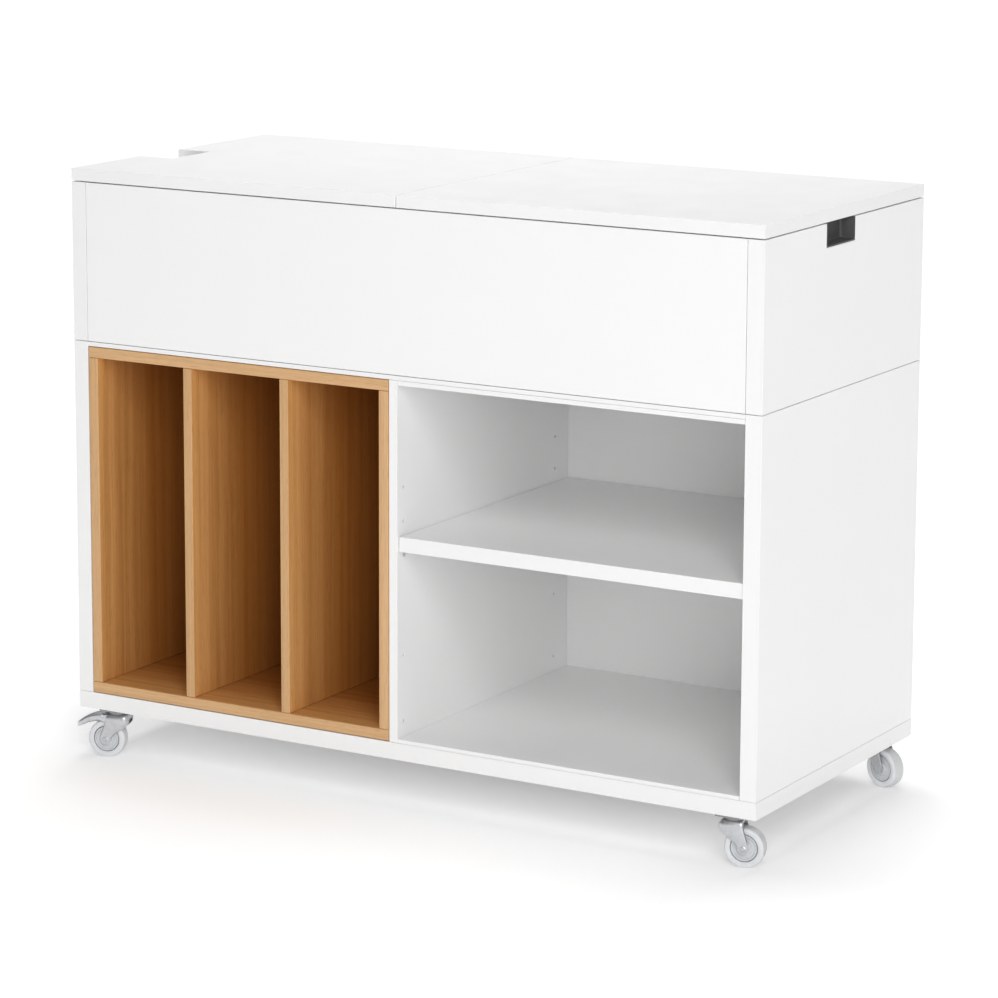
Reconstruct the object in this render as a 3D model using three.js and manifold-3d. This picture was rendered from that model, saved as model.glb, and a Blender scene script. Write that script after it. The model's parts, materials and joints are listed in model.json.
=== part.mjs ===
// Sewing table: a white board cabinet on four swivel castors. An upper box with a fixed left top and a
// right lid that folds over onto it stands on a lower case, which holds an oak divider box and an open
// bay with one adjustable shelf. Millimetres, +Z up, front towards -Y. The origin is on the floor, under
// the middle of the cabinet.
import * as THREE from 'three';
import { mergeVertices } from 'three/addons/utils/BufferGeometryUtils.js';
import Module from 'manifold-3d';

const wasm = await Module();
wasm.setup();

// ---- Cabinet: driving dimensions --------------------------------------------------------------------
const WIDTH = 1000;
const DEPTH = 445;
const CASE_HEIGHT = 717;
const CASTOR_HEIGHT = 66;
const SIDE_T = 22; // side panels and base board
const TOP_T = 16; // fixed top and lid
const FRONT_T = 18; // front and back of the upper box
const LOWER_HEIGHT = 492; // base underside to the seam between the two boxes
const JOINT = 0.3; // gap left between boards that are glued or dowelled together
const SEAM_GAP = 0.8; // shadow line between the two boxes
const LID_GAP = 1.5; // shadow line under the top boards
const PANEL_GAP = 0.8; // shadow line at the ends of the upper front panel
const SPLIT_GAP = 1.5; // between the fixed top and the lid
const SPLIT_X = -6; // middle of that gap

const LEFT = -WIDTH / 2;
const RIGHT = WIDTH / 2;
const FRONT = -DEPTH / 2;
const BACK = DEPTH / 2;
const BASE_BOTTOM = CASTOR_HEIGHT;
const BASE_TOP = BASE_BOTTOM + SIDE_T;
const SEAM_Z = BASE_BOTTOM + LOWER_HEIGHT;
const TOP_Z = BASE_BOTTOM + CASE_HEIGHT;
const TOP_BOTTOM = TOP_Z - TOP_T;
const RIM_Z = TOP_BOTTOM - LID_GAP; // top edges of the upper box
const INNER_LEFT = LEFT + SIDE_T;
const INNER_RIGHT = RIGHT - SIDE_T;

// Deck between the boxes, back panels, and the divider between the two bays.
const DECK_T = 12;
const DECK_BOTTOM = SEAM_Z - 6;
const BACK_T = 12;
const BACK_INSET = 2;
const BACK_FACE = BACK - BACK_INSET - BACK_T; // inner face of the lower back panel
const DIVIDER_T = 12;
const DIVIDER_LEFT = LEFT + 484;
const DIVIDER_RIGHT = DIVIDER_LEFT + DIVIDER_T;
const RAIL_T = 18;
const RAIL_HEIGHT = 60;

// Right bay: a thin ceiling and floor, and the shelf.
const CEILING_T = 6;
const FLOOR_T = 5;
const SHELF_T = 19;
const SHELF_BOTTOM = BASE_BOTTOM + 268.3;
const SHELF_SETBACK = 3;
const SHELF_END_GAP = 1;
const SHELF_BACK_GAP = 2;
const PIN_PITCH = 43;
const PIN_ROWS = [2, 1, 0, -3, -5]; // rows of drilled holes, counted from the row in use
const PIN_Z = SHELF_BOTTOM - 5.8;
const PIN_FRONT = FRONT + 15;
const PIN_BACK = FRONT + 395;
const PIN_R = 2.5;
const PIN_HEAD_R = 5;
const PIN_DEPTH = 8;
const PIN_HOLE_R = 2.8;
const PIN_HOLE_DEPTH = 9;

// Oak divider box in the left bay.
const OAK_GAP = 1.3;
const OAK_T = 14;
const OAK_DIVIDER_T = 13;
const OAK_BACK_T = 8;
const OAK_FIT = 1; // play above, below and behind the box
const OAK_LEFT = INNER_LEFT + OAK_GAP;
const OAK_RIGHT = DIVIDER_LEFT - OAK_GAP;
const OAK_BOTTOM = BASE_TOP + OAK_FIT;
const OAK_TOP = DECK_BOTTOM - OAK_FIT;

// Finger notch in the right side with its lining, and the cut-out in the left edge of the fixed top.
const NOTCH_FRONT = FRONT + 165;
const NOTCH_BACK = FRONT + 245;
const NOTCH_DEPTH = 31;
const NOTCH_FLOOR = TOP_BOTTOM - NOTCH_DEPTH;
const LINING_T = 1.5;
const CUTOUT_FRONT = FRONT + 151;
const CUTOUT_BACK = FRONT + 238;
const CUTOUT_DEPTH = 52;
const OVERSHOOT = 1; // how far a cutter passes the faces that it opens

// Battens that hold the fixed top, and the pads that the lid rests on.
const BATTEN = 18;
const BUMPER_R = 4;
const BUMPER_INSET = 60;
const ROUND_SEGMENTS = 16;
const SMALL_SEGMENTS = 10;

// Concealed hinges of the lid: arcs about one axis just above the joint in the top surface.
const HINGE_RISE = 0.3;
const HINGE_YS = [-140, 140];
const HINGE_Z = TOP_Z + HINGE_RISE;
const MORTISE_R = 13.6;
const CUP_R = 13.2;
const CAVITY_R = 12;
const SKIN = 2.5; // board left above the mortise, measured from the hinge axis
const CUP_LENGTH = 40;
const CUP_END = 2;
const ARC_OUTER = 11.4;
const ARC_INNER = 7;
const WEB_INNER = 4.5;
const ARC_T = 5.6;
const ARC_PITCH = 6;
const HINGE_SEGMENTS = 32;
const HINGE_STEPS = 4;
const EDGE_SETBACK = 0.05; // of a cup's open face from the board's edge
const FINGER_SPAN = [205, 335]; // degrees about the axis, from +X towards +Z
const FINGER_ROOT_SPAN = 23;
const FINGER_ROOT_R = CAVITY_R + 0.6;
const LINK_SPAN = [234, 306];
const WEB_SPAN = [238, 302];

// ---- Castors: driving dimensions --------------------------------------------------------------------
const CASTOR_INSET_LEFT = 48; // room for the brake pedals
const CASTOR_INSET_RIGHT = 38;
const CASTOR_INSET_Y = 20;
const WHEEL_R = 25;
const TYRE_WIDTH = 19;
const WHEEL_SEGMENTS = 20;
const HUB_R = 17;
const AXLE_R = 3;
const AXLE_FIT = 0.2;
const BORE_FIT = 0.4;
const TRAIL = 14; // swivel axis to wheel axis
const PLATE_SIZE = 38;
const PLATE_T = 2;
const SCREW_R = 3;
const SCREW_INSET = 4;
const SCREW_HEAD = 1.2;
const RACE_R = 14;
const KING_PIN_R = 4;
const KING_PIN_HOLE_R = 4.4;
const RIVET_R = 6.5;
const RIVET_DROP = 3; // of the king pin's riveted end under the crown
const CROWN_R = 15.5;
const CROWN_TOP = 58.5;
const CROWN_BOTTOM = 54.5;
const LEG_Y = 11.2; // inner face of a fork leg
const LEG_T = 1.8;
const LEG_STEPS = 4; // straight steps in each curve of a leg's outline
const NOSE_X = -16.5; // leading edge of the fork
const EYE_R = 6.5; // round end of a fork leg about the axle
const AXLE_HEAD_R = 4.6;
const AXLE_HEAD = 1.5;
const HUB_BOSS = 3.5; // wall of the hub around its bore
const HUB_PROUD = 0.6; // of the boss beyond the tyre's width
const PEDAL_X = 19.5; // pedal pivot, from the swivel axis
const PEDAL_Z = 55.5;
const PEDAL_PIN_R = 1.5;
const PEDAL_HOLE_R = 1.9;
const PEDAL_EYE = 2.5; // half height of the pedal about its pivot
const PEDAL_STEPS = 6;
const PEDAL_SIDE_GAP = 0.6;
const PEDAL_TIP_X = 55.5;
const PEDAL_TIP_Z = 43.5;
const TONGUE_Z = 48.8; // end of the tongue that stops the tread
const CASTORS = [
  { name: 'front_left', x: -1, y: -1, turn: 198, brake: true },
  { name: 'front_right', x: 1, y: -1, turn: 12.5, brake: false },
  { name: 'rear_left', x: -1, y: 1, turn: 172, brake: true },
  { name: 'rear_right', x: 1, y: 1, turn: -17.5, brake: false },
];

// ---- Finishes ---------------------------------------------------------------------------------------
const FINISHES = {
  white: { color: '#f1f1f0', roughness: 0.45, metalness: 0 },
  oak: { color: '#c8955a', roughness: 0.5, metalness: 0 },
  beech: { color: '#d9b98c', roughness: 0.7, metalness: 0 },
  zinc: { color: '#c3c6c8', roughness: 0.32, metalness: 0.9 },
  hinge: { color: '#a9abad', roughness: 0.35, metalness: 0.9 },
  tyre: { color: '#d3d6d9', roughness: 0.6, metalness: 0 },
  hub: { color: '#b9bdc1', roughness: 0.5, metalness: 0 },
  rubber: { color: '#8b8d8f', roughness: 0.8, metalness: 0 },
  pin: { color: '#e6e8e8', roughness: 0.4, metalness: 0 },
  lining: { color: '#4a4a4a', roughness: 0.6, metalness: 0 },
};

// ---- Helpers ----------------------------------------------------------------------------------------
const WELD = 1e-4; // corners closer than this are one corner
const group = new THREE.Group();

function addPart(name, geometry, finish, parent = group) {
  const mesh = new THREE.Mesh(geometry, new THREE.MeshStandardMaterial(FINISHES[finish]));
  mesh.name = name;
  parent.add(mesh);
  return mesh;
}

// A board between two opposite corners.
function board(x0, x1, y0, y1, z0, z1) {
  const geometry = new THREE.BoxGeometry(x1 - x0, y1 - y0, z1 - z0);
  return geometry.translate((x0 + x1) / 2, (y0 + y1) / 2, (z0 + z1) / 2);
}

// A round bar along +Z, +X or +Y between two stations.
function bar(axis, radius, from, to, at, segments = ROUND_SEGMENTS) {
  const geometry = new THREE.CylinderGeometry(radius, radius, to - from, segments);
  const middle = (from + to) / 2;
  if (axis === 'z') return geometry.rotateX(Math.PI / 2).translate(at[0], at[1], middle);
  if (axis === 'x') return geometry.rotateZ(-Math.PI / 2).translate(middle, at[0], at[1]);
  return geometry.translate(at[0], middle, at[1]);
}

// An outline drawn in X and Z, pushed out along Y between two stations.
function slab(shape, y0, y1, curveSegments) {
  const geometry = new THREE.ExtrudeGeometry(shape, { depth: y1 - y0, bevelEnabled: false, curveSegments });
  return geometry.rotateX(Math.PI / 2).translate(0, y1, 0);
}

// A ring turned about Y. Its [radius, y] corners run up the bore and back down the outside.
function turned(profile, segments) {
  const points = profile.map(([radius, along]) => new THREE.Vector2(radius, along));
  return new THREE.LatheGeometry(points.reverse(), segments);
}

function toSolid(geometry) {
  const bare = geometry.clone();
  bare.deleteAttribute('normal');
  bare.deleteAttribute('uv');
  const welded = mergeVertices(bare, WELD);
  const vertProperties = new Float32Array(welded.attributes.position.array);
  const triVerts = new Uint32Array(welded.index.array);
  return new wasm.Manifold(new wasm.Mesh({ numProp: 3, vertProperties, triVerts }));
}

function toGeometry(solid) {
  const mesh = solid.getMesh();
  const geometry = new THREE.BufferGeometry();
  geometry.setAttribute('position', new THREE.BufferAttribute(new Float32Array(mesh.vertProperties), 3));
  geometry.setIndex(new THREE.BufferAttribute(new Uint32Array(mesh.triVerts), 1));
  geometry.computeVertexNormals();
  return geometry;
}

function joined(geometries) {
  return geometries.map(toSolid).reduce((whole, piece) => whole.add(piece));
}

function cut(geometry, cutters) {
  return toGeometry(toSolid(geometry).subtract(joined(cutters)));
}

function merged(geometries) {
  return toGeometry(joined(geometries));
}

// ---- Lower case -------------------------------------------------------------------------------------
function pinHoles(wallX, inwards) {
  const holes = [];
  for (const row of PIN_ROWS) {
    for (const y of [PIN_FRONT, PIN_BACK]) {
      const z = PIN_Z + row * PIN_PITCH;
      const end = wallX + inwards * PIN_HOLE_DEPTH;
      const mouth = wallX - inwards * OVERSHOOT;
      holes.push(bar('x', PIN_HOLE_R, Math.min(end, mouth), Math.max(end, mouth), [y, z], SMALL_SEGMENTS));
    }
  }
  return holes;
}

function addLowerCase() {
  const sideBottom = BASE_TOP + JOINT;
  const sideTop = SEAM_Z - SEAM_GAP / 2;

  addPart('base_board', board(LEFT, RIGHT, FRONT, BACK, BASE_BOTTOM, BASE_TOP), 'white');
  addPart('lower_side_left', board(LEFT, INNER_LEFT, FRONT, BACK, sideBottom, sideTop), 'white');
  const rightSide = board(INNER_RIGHT, RIGHT, FRONT, BACK, sideBottom, sideTop);
  addPart('lower_side_right', cut(rightSide, pinHoles(INNER_RIGHT, 1)), 'white');

  const divider = board(
    DIVIDER_LEFT, DIVIDER_RIGHT, FRONT, BACK_FACE - JOINT, sideBottom, DECK_BOTTOM - JOINT,
  );
  addPart('divider_panel', cut(divider, pinHoles(DIVIDER_RIGHT, -1)), 'white');
  const backPanel = board(
    INNER_LEFT + JOINT, INNER_RIGHT - JOINT, BACK_FACE, BACK_FACE + BACK_T, sideBottom, DECK_BOTTOM - JOINT,
  );
  addPart('lower_back_panel', backPanel, 'white');

  const bayLeft = DIVIDER_RIGHT + JOINT;
  const bayRight = INNER_RIGHT - JOINT;
  const bayBack = BACK_FACE - JOINT;
  const ceilingTop = DECK_BOTTOM - JOINT;
  const ceilingBottom = ceilingTop - CEILING_T;
  addPart('bay_ceiling', board(bayLeft, bayRight, FRONT, bayBack, ceilingBottom, ceilingTop), 'white');
  addPart('bay_floor', board(bayLeft, bayRight, FRONT, bayBack, sideBottom, sideBottom + FLOOR_T), 'white');
}

// The deck closes the lower case and tongues up into the upper box, behind its front panel.
function addDeck() {
  const x0 = INNER_LEFT + JOINT;
  const x1 = INNER_RIGHT - JOINT;
  const lip = board(x0, x1, FRONT, BACK, DECK_BOTTOM, SEAM_Z - SEAM_GAP / 2);
  const tongue = board(
    x0, x1, FRONT + FRONT_T + JOINT, BACK - FRONT_T - JOINT, DECK_BOTTOM, DECK_BOTTOM + DECK_T,
  );
  addPart('deck_panel', merged([lip, tongue]), 'white');
}

function addShelf() {
  const x0 = DIVIDER_RIGHT + SHELF_END_GAP;
  const x1 = INNER_RIGHT - SHELF_END_GAP;
  const y0 = FRONT + SHELF_SETBACK;
  const y1 = BACK_FACE - SHELF_BACK_GAP;
  addPart('adjustable_shelf', board(x0, x1, y0, y1, SHELF_BOTTOM, SHELF_BOTTOM + SHELF_T), 'white');

  for (const [side, wallX, inwards] of [['left', DIVIDER_RIGHT, -1], ['right', INNER_RIGHT, 1]]) {
    for (const [end, y] of [['front', PIN_FRONT], ['rear', PIN_BACK]]) {
      const tip = wallX + inwards * PIN_DEPTH;
      const collar = wallX - inwards * JOINT;
      const outer = wallX - inwards * PIN_DEPTH;
      const shank = bar('x', PIN_R, Math.min(tip, outer), Math.max(tip, outer), [y, PIN_Z], SMALL_SEGMENTS);
      const head = bar('x', PIN_HEAD_R, Math.min(collar, outer), Math.max(collar, outer), [y, PIN_Z]);
      addPart(`shelf_pin_${side}_${end}`, merged([shank, head]), 'pin');
    }
  }
}

// ---- Oak divider box --------------------------------------------------------------------------------
function addOakBox() {
  const back = BACK_FACE - OAK_FIT;
  const innerBottom = OAK_BOTTOM + OAK_T + JOINT;
  const innerTop = OAK_TOP - OAK_T - JOINT;
  const innerLeft = OAK_LEFT + OAK_T;
  const innerRight = OAK_RIGHT - OAK_T;
  addPart('oak_top', board(OAK_LEFT, OAK_RIGHT, FRONT, back, OAK_TOP - OAK_T, OAK_TOP), 'oak');
  addPart('oak_bottom', board(OAK_LEFT, OAK_RIGHT, FRONT, back, OAK_BOTTOM, OAK_BOTTOM + OAK_T), 'oak');
  addPart('oak_left', board(OAK_LEFT, innerLeft, FRONT, back, innerBottom, innerTop), 'oak');
  addPart('oak_right', board(innerRight, OAK_RIGHT, FRONT, back, innerBottom, innerTop), 'oak');

  const backFront = back - OAK_BACK_T;
  const panel = board(innerLeft + JOINT, innerRight - JOINT, backFront, back, innerBottom, innerTop);
  addPart('oak_back', panel, 'oak');
  const cell = (innerRight - innerLeft - 2 * OAK_DIVIDER_T) / 3;
  for (const [index, name] of ['oak_divider_left', 'oak_divider_right'].entries()) {
    const x = innerLeft + cell + index * (cell + OAK_DIVIDER_T);
    const divider = board(x, x + OAK_DIVIDER_T, FRONT, backFront - JOINT, innerBottom, innerTop);
    addPart(name, divider, 'oak');
  }
}

// ---- Upper box --------------------------------------------------------------------------------------
function addUpperBox() {
  const bottom = SEAM_Z + SEAM_GAP / 2;
  addPart('upper_side_left', board(LEFT, INNER_LEFT, FRONT, BACK, bottom, RIM_Z), 'white');
  const notch = board(
    INNER_RIGHT - OVERSHOOT, RIGHT + OVERSHOOT, NOTCH_FRONT, NOTCH_BACK, NOTCH_FLOOR, RIM_Z + OVERSHOOT,
  );
  const rightSide = board(INNER_RIGHT, RIGHT, FRONT, BACK, bottom, RIM_Z);
  addPart('upper_side_right', cut(rightSide, [notch]), 'white');

  const x0 = INNER_LEFT + PANEL_GAP;
  const x1 = INNER_RIGHT - PANEL_GAP;
  addPart('upper_front_panel', board(x0, x1, FRONT, FRONT + FRONT_T, bottom, RIM_Z), 'white');
  addPart('upper_back_panel', board(x0, x1, BACK - FRONT_T, BACK, bottom, RIM_Z), 'white');

  const railLeft = SPLIT_X - RAIL_T / 2;
  const inFront = FRONT + FRONT_T + JOINT;
  const inBack = BACK - FRONT_T - JOINT;
  const rail = board(railLeft, railLeft + RAIL_T, inFront, inBack, RIM_Z - RAIL_HEIGHT, RIM_Z);
  addPart('centre_rail', rail, 'white');

  const battenTop = TOP_BOTTOM - JOINT;
  const battenEnd = railLeft - JOINT;
  const battens = { front: [inFront, inFront + BATTEN], rear: [inBack - BATTEN, inBack] };
  for (const [end, [y0, y1]] of Object.entries(battens)) {
    const batten = board(INNER_LEFT + JOINT, battenEnd, y0, y1, battenTop - BATTEN, battenTop);
    addPart(`top_batten_${end}`, batten, 'beech');
  }

  const pads = { front: FRONT + FRONT_T / 2, rear: BACK - FRONT_T / 2 };
  for (const [end, y] of Object.entries(pads)) {
    const pad = bar('z', BUMPER_R, RIM_Z + JOINT, TOP_BOTTOM - JOINT, [RIGHT - BUMPER_INSET, y]);
    addPart(`lid_bumper_${end}`, pad, 'rubber');
  }
}

// The lining of the finger notch: a tray open to the outside and, under the lid, at its top.
function addFingerPull() {
  const y0 = NOTCH_FRONT + JOINT;
  const y1 = NOTCH_BACK - JOINT;
  const z0 = NOTCH_FLOOR + JOINT;
  const tray = board(INNER_RIGHT, RIGHT - JOINT, y0, y1, z0, RIM_Z);
  const hollow = board(
    INNER_RIGHT + LINING_T, RIGHT + OVERSHOOT, y0 + LINING_T, y1 - LINING_T, z0 + LINING_T, RIM_Z + OVERSHOOT,
  );
  addPart('finger_pull', cut(tray, [hollow]), 'lining');
}

// ---- Fixed top, lid and their concealed hinges ------------------------------------------------------
// A sector of a ring about the hinge axis, in degrees from +X towards +Z, between two Y stations.
function hingeArc(inner, outer, fromDegrees, toDegrees, y0, y1) {
  const from = THREE.MathUtils.degToRad(fromDegrees);
  const to = THREE.MathUtils.degToRad(toDegrees);
  const shape = new THREE.Shape();
  shape.absarc(0, 0, outer, from, to, false);
  shape.absarc(0, 0, inner, to, from, true);
  shape.closePath();
  return slab(shape, y0, y1, HINGE_STEPS).translate(SPLIT_X, 0, HINGE_Z);
}

// The half of a round bar about the hinge axis that lies inside one board, under its top skin.
function hingeQuarter(radius, y0, y1, side, skin) {
  const round = bar('y', radius, y0, y1, [SPLIT_X, HINGE_Z], HINGE_SEGMENTS);
  const near = SPLIT_X + side * (SPLIT_GAP / 2 - EDGE_SETBACK);
  const far = near + side * 2 * radius;
  const bottom = HINGE_Z - 2 * radius;
  const inside = board(
    Math.min(near, far), Math.max(near, far), y0 - OVERSHOOT, y1 + OVERSHOOT, bottom, HINGE_Z - skin,
  );
  return toSolid(round).intersect(toSolid(inside));
}

function hingeMortise(y, side) {
  const reach = CUP_LENGTH / 2 + CUP_END + JOINT;
  const near = SPLIT_X - side * SPLIT_GAP;
  const far = SPLIT_X + side * 2 * MORTISE_R;
  const round = bar('y', MORTISE_R, y - reach, y + reach, [SPLIT_X, HINGE_Z], HINGE_SEGMENTS);
  const below = board(
    Math.min(near, far), Math.max(near, far), y - reach - OVERSHOOT, y + reach + OVERSHOOT,
    HINGE_Z - 2 * MORTISE_R, HINGE_Z - SKIN,
  );
  return toGeometry(toSolid(round).intersect(toSolid(below)));
}

// A cup let into the board's edge, with curved fingers that reach into the opposite cup.
function hingeHalf(y, side, fingerYs) {
  const reach = CUP_LENGTH / 2;
  const skin = SKIN + JOINT;
  const shell = hingeQuarter(CUP_R, y - reach - CUP_END, y + reach + CUP_END, side, skin);
  const cavity = toSolid(bar('y', CAVITY_R, y - reach, y + reach, [SPLIT_X, HINGE_Z], HINGE_SEGMENTS));
  let half = shell.subtract(cavity);
  for (const offset of fingerYs) {
    const y0 = y + offset - ARC_T / 2;
    const y1 = y + offset + ARC_T / 2;
    const rootStart = side < 0 ? FINGER_SPAN[0] : FINGER_SPAN[1] - FINGER_ROOT_SPAN;
    const rootEnd = rootStart + FINGER_ROOT_SPAN;
    half = half.add(toSolid(hingeArc(ARC_INNER, ARC_OUTER, ...FINGER_SPAN, y0, y1)));
    half = half.add(toSolid(hingeArc(ARC_OUTER - OVERSHOOT, FINGER_ROOT_R, rootStart, rootEnd, y0, y1)));
  }
  return toGeometry(half);
}

function addTops() {
  const leftCuts = HINGE_YS.map((y) => hingeMortise(y, -1));
  const cutout = board(
    LEFT - OVERSHOOT, LEFT + CUTOUT_DEPTH, CUTOUT_FRONT, CUTOUT_BACK,
    TOP_BOTTOM - OVERSHOOT, TOP_Z + OVERSHOOT,
  );
  const leftTop = board(LEFT, SPLIT_X - SPLIT_GAP / 2, FRONT, BACK, TOP_BOTTOM, TOP_Z);
  addPart('left_top', cut(leftTop, [...leftCuts, cutout]), 'white');
  const lid = board(SPLIT_X + SPLIT_GAP / 2, RIGHT, FRONT, BACK, TOP_BOTTOM, TOP_Z);
  addPart('right_lid', cut(lid, HINGE_YS.map((y) => hingeMortise(y, 1))), 'white');

  for (const [index, y] of HINGE_YS.entries()) {
    const end = index === 0 ? 'front' : 'rear';
    addPart(`hinge_top_half_${end}`, hingeHalf(y, -1, [-2 * ARC_PITCH, 2 * ARC_PITCH]), 'hinge');
    addPart(`hinge_lid_half_${end}`, hingeHalf(y, 1, [0]), 'hinge');
    const arcs = [-ARC_PITCH, ARC_PITCH].map((offset) => {
      const y0 = y + offset - ARC_T / 2;
      return hingeArc(WEB_INNER, ARC_OUTER, ...LINK_SPAN, y0, y0 + ARC_T);
    });
    const web = hingeArc(WEB_INNER, ARC_INNER - JOINT, ...WEB_SPAN, y - ARC_PITCH, y + ARC_PITCH);
    addPart(`hinge_link_${end}`, merged([...arcs, web]), 'hinge');
  }
}

// ---- Castors ----------------------------------------------------------------------------------------
// Every castor is drawn with its swivel axis on Z, the floor at 0 and its wheel trailing towards +X.
function castorPlate() {
  const top = CASTOR_HEIGHT - JOINT;
  const half = PLATE_SIZE / 2;
  const plate = board(-half, half, -half, half, top - PLATE_T, top);
  const race = bar('z', RACE_R, CROWN_TOP + JOINT, top - PLATE_T / 2, [0, 0]);
  const pin = bar('z', KING_PIN_R, CROWN_BOTTOM - RIVET_DROP, CROWN_TOP + OVERSHOOT, [0, 0]);
  const rivet = bar('z', RIVET_R, CROWN_BOTTOM - RIVET_DROP, CROWN_BOTTOM - JOINT, [0, 0]);
  const offset = half - SCREW_INSET;
  const corners = [[-offset, -offset], [offset, -offset], [-offset, offset], [offset, offset]];
  const screws = corners.map((at) =>
    bar('z', SCREW_R, top - PLATE_T - SCREW_HEAD, top - PLATE_T / 2, at, SMALL_SEGMENTS),
  );
  return merged([plate, race, pin, rivet, ...screws]);
}

// Side outline of the fork: wide under the crown, curving in to a round end about the axle.
function forkLeg(brake) {
  const shape = new THREE.Shape();
  shape.moveTo(NOSE_X, CROWN_TOP);
  shape.lineTo(NOSE_X, CROWN_TOP - 7);
  shape.quadraticCurveTo(NOSE_X + 2, WHEEL_R + 13, TRAIL - 9, WHEEL_R + 9);
  shape.absarc(TRAIL, WHEEL_R, EYE_R, Math.PI * 0.9, Math.PI * 2.06, false);
  shape.lineTo(CROWN_R - 3, CROWN_BOTTOM - 8);
  if (brake) {
    shape.lineTo(PEDAL_X + 3, PEDAL_Z - 5);
    shape.lineTo(PEDAL_X + 4, PEDAL_Z);
    shape.lineTo(PEDAL_X + 2, CROWN_TOP);
  } else {
    shape.lineTo(CROWN_R - 3, CROWN_TOP);
  }
  shape.closePath();
  return shape;
}

function castorFork(brake) {
  const leg = forkLeg(brake);
  const crown = toSolid(bar('z', CROWN_R, CROWN_BOTTOM, CROWN_TOP, [0, 0], WHEEL_SEGMENTS));
  const outside = LEG_Y + LEG_T + OVERSHOOT;
  const hole = toSolid(bar('z', KING_PIN_HOLE_R, CROWN_BOTTOM - OVERSHOOT, CROWN_TOP + OVERSHOOT, [0, 0]));
  const axleHole = toSolid(bar('y', AXLE_R + AXLE_FIT, -outside, outside, [TRAIL, WHEEL_R]));
  const legs = joined([
    slab(leg, -LEG_Y - LEG_T, -LEG_Y, LEG_STEPS),
    slab(leg, LEG_Y, LEG_Y + LEG_T, LEG_STEPS),
  ]);
  let fork = crown.add(legs);
  if (brake) {
    const pivot = bar('y', PEDAL_PIN_R, -outside, outside, [PEDAL_X, PEDAL_Z], SMALL_SEGMENTS);
    fork = fork.add(toSolid(pivot));
  }
  return toGeometry(fork.subtract(hole).subtract(axleHole));
}

function castorAxle() {
  const reach = LEG_Y + LEG_T + JOINT;
  const shaft = bar('y', AXLE_R, -reach - AXLE_HEAD, reach + AXLE_HEAD, [TRAIL, WHEEL_R]);
  const heads = [-1, 1].map((side) => {
    const near = side * reach;
    const far = side * (reach + AXLE_HEAD);
    return bar('y', AXLE_HEAD_R, Math.min(near, far), Math.max(near, far), [TRAIL, WHEEL_R]);
  });
  return merged([shaft, ...heads]);
}

// The tyre's flats, not its corners, are at the wheel's radius, so that it stands on a flat.
function castorTyre() {
  const half = TYRE_WIDTH / 2;
  const inner = HUB_R + JOINT;
  const outer = WHEEL_R / Math.cos(Math.PI / WHEEL_SEGMENTS);
  const profile = [
    [inner, -half + 1], [inner, half - 1], [outer - 2.4, half], [outer - 0.5, half - 2.5],
    [outer, half - 6], [outer, -half + 6], [outer - 0.5, -half + 2.5], [outer - 2.4, -half],
    [inner, -half + 1],
  ];
  const ring = turned(profile, WHEEL_SEGMENTS).rotateY(Math.PI / WHEEL_SEGMENTS);
  return ring.translate(TRAIL, 0, WHEEL_R);
}

function castorHub() {
  const half = TYRE_WIDTH / 2;
  const bore = AXLE_R + BORE_FIT;
  const boss = bore + HUB_BOSS;
  const proud = half + HUB_PROUD;
  const profile = [
    [bore, -proud], [bore, proud], [boss, proud], [boss + 1, half - 1.6], [HUB_R - 2, half - 1.6],
    [HUB_R, half - 0.9], [HUB_R, -half + 0.9], [HUB_R - 2, -half + 1.6], [boss + 1, -half + 1.6],
    [boss, -proud], [bore, -proud],
  ];
  const ring = turned(profile, WHEEL_SEGMENTS).rotateY(Math.PI / WHEEL_SEGMENTS);
  return ring.translate(TRAIL, 0, WHEEL_R);
}

// Foot pedal: a bowed plate about its pivot, with a tongue that reaches down to the tread.
function brakePedal() {
  const shape = new THREE.Shape();
  shape.moveTo(PEDAL_X - PEDAL_EYE, PEDAL_Z + PEDAL_EYE);
  shape.quadraticCurveTo(PEDAL_X + 18, PEDAL_Z + 4, PEDAL_TIP_X, PEDAL_TIP_Z);
  shape.quadraticCurveTo(PEDAL_TIP_X + 1, PEDAL_TIP_Z - 2.5, PEDAL_TIP_X - 2.5, PEDAL_TIP_Z - 2.5);
  shape.quadraticCurveTo(PEDAL_X + 18, PEDAL_Z - 1, PEDAL_X + 8.5, PEDAL_Z - 2);
  shape.lineTo(PEDAL_X + 7.5, TONGUE_Z);
  shape.lineTo(PEDAL_X + 4.5, TONGUE_Z + 1);
  shape.lineTo(PEDAL_X + 3.2, PEDAL_Z - PEDAL_EYE);
  shape.lineTo(PEDAL_X - PEDAL_EYE, PEDAL_Z - PEDAL_EYE);
  shape.closePath();
  const half = LEG_Y - PEDAL_SIDE_GAP;
  const plate = toSolid(slab(shape, -half, half, PEDAL_STEPS));
  const hole = toSolid(bar('y', PEDAL_HOLE_R, -LEG_Y, LEG_Y, [PEDAL_X, PEDAL_Z], SMALL_SEGMENTS));
  return toGeometry(plate.subtract(hole));
}

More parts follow.
